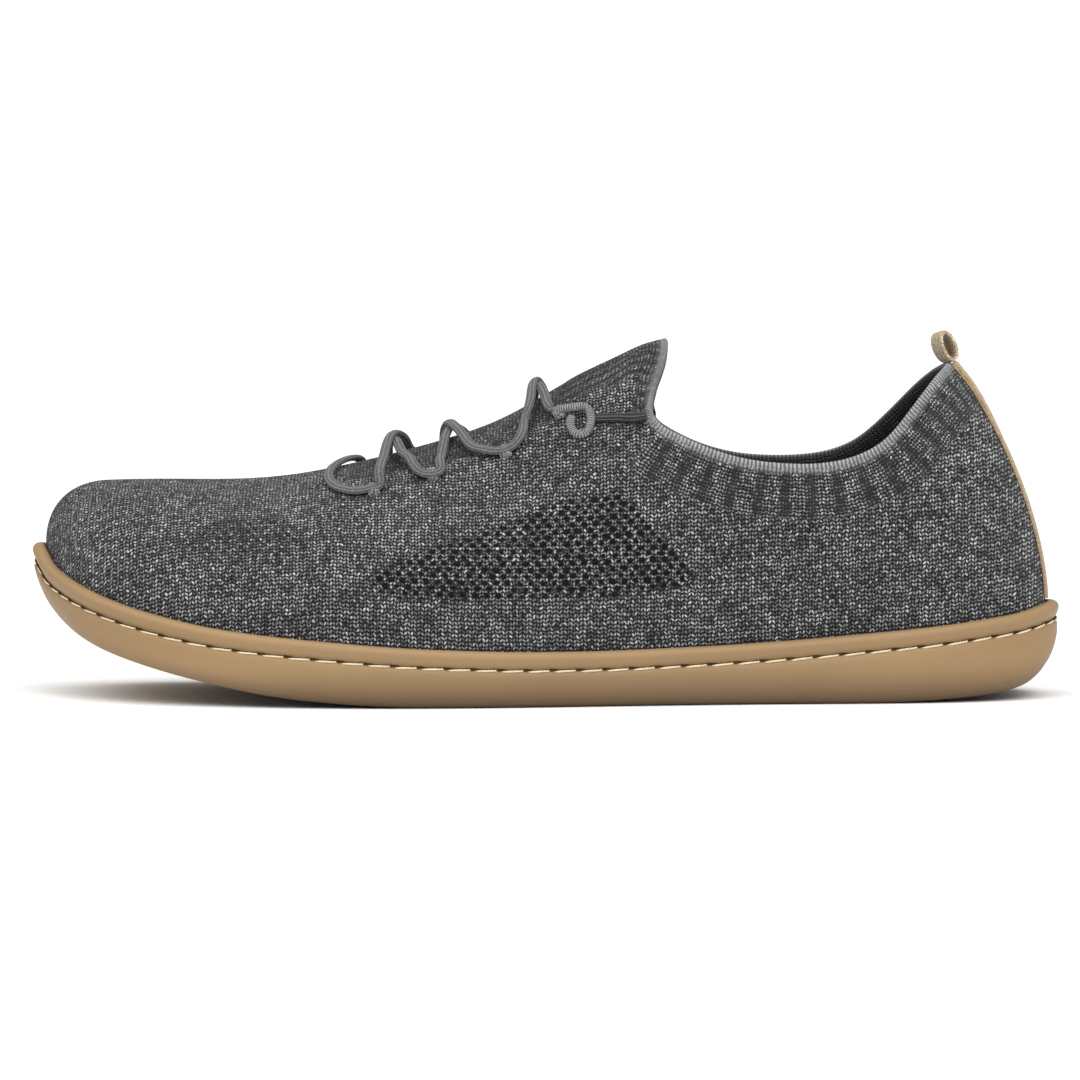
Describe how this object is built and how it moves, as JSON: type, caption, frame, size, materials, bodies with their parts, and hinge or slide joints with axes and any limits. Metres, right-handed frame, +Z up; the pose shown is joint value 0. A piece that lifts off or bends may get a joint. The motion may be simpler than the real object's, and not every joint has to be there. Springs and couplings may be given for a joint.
{
  "type": "barefoot shoe",
  "caption": "Low barefoot shoe for the left foot: a one-piece knitted sock-like upper with an elastic lace, stitched into a thin flexible rubber cupsole.",
  "frame": {"origin": "on the floor, in the middle of the shoe's length and width", "axes": "X from the toe to the heel, Y from the lateral to the medial side of the foot, Z up"},
  "size_m": [0.28, 0.1029, 0.0991],
  "materials": {
    "sole_rubber": "matte tan rubber",
    "insole_fabric": "dark knitted cover on thin foam",
    "knit": "grey heather knit",
    "lace": "grey ribbed elastic",
    "webbing": "tan woven webbing"
  },
  "bodies": {
    "root": {"outsole": "sole_rubber", "insole": "insole_fabric", "upper": "knit", "lace_crossings": "lace", "lace_knot_lateral": "lace", "lace_knot_medial": "lace", "lace_end_lateral": "lace", "lace_end_medial": "lace", "pull_loop": "webbing", "heel_tape": "webbing"}
  },
  "joints": []
}
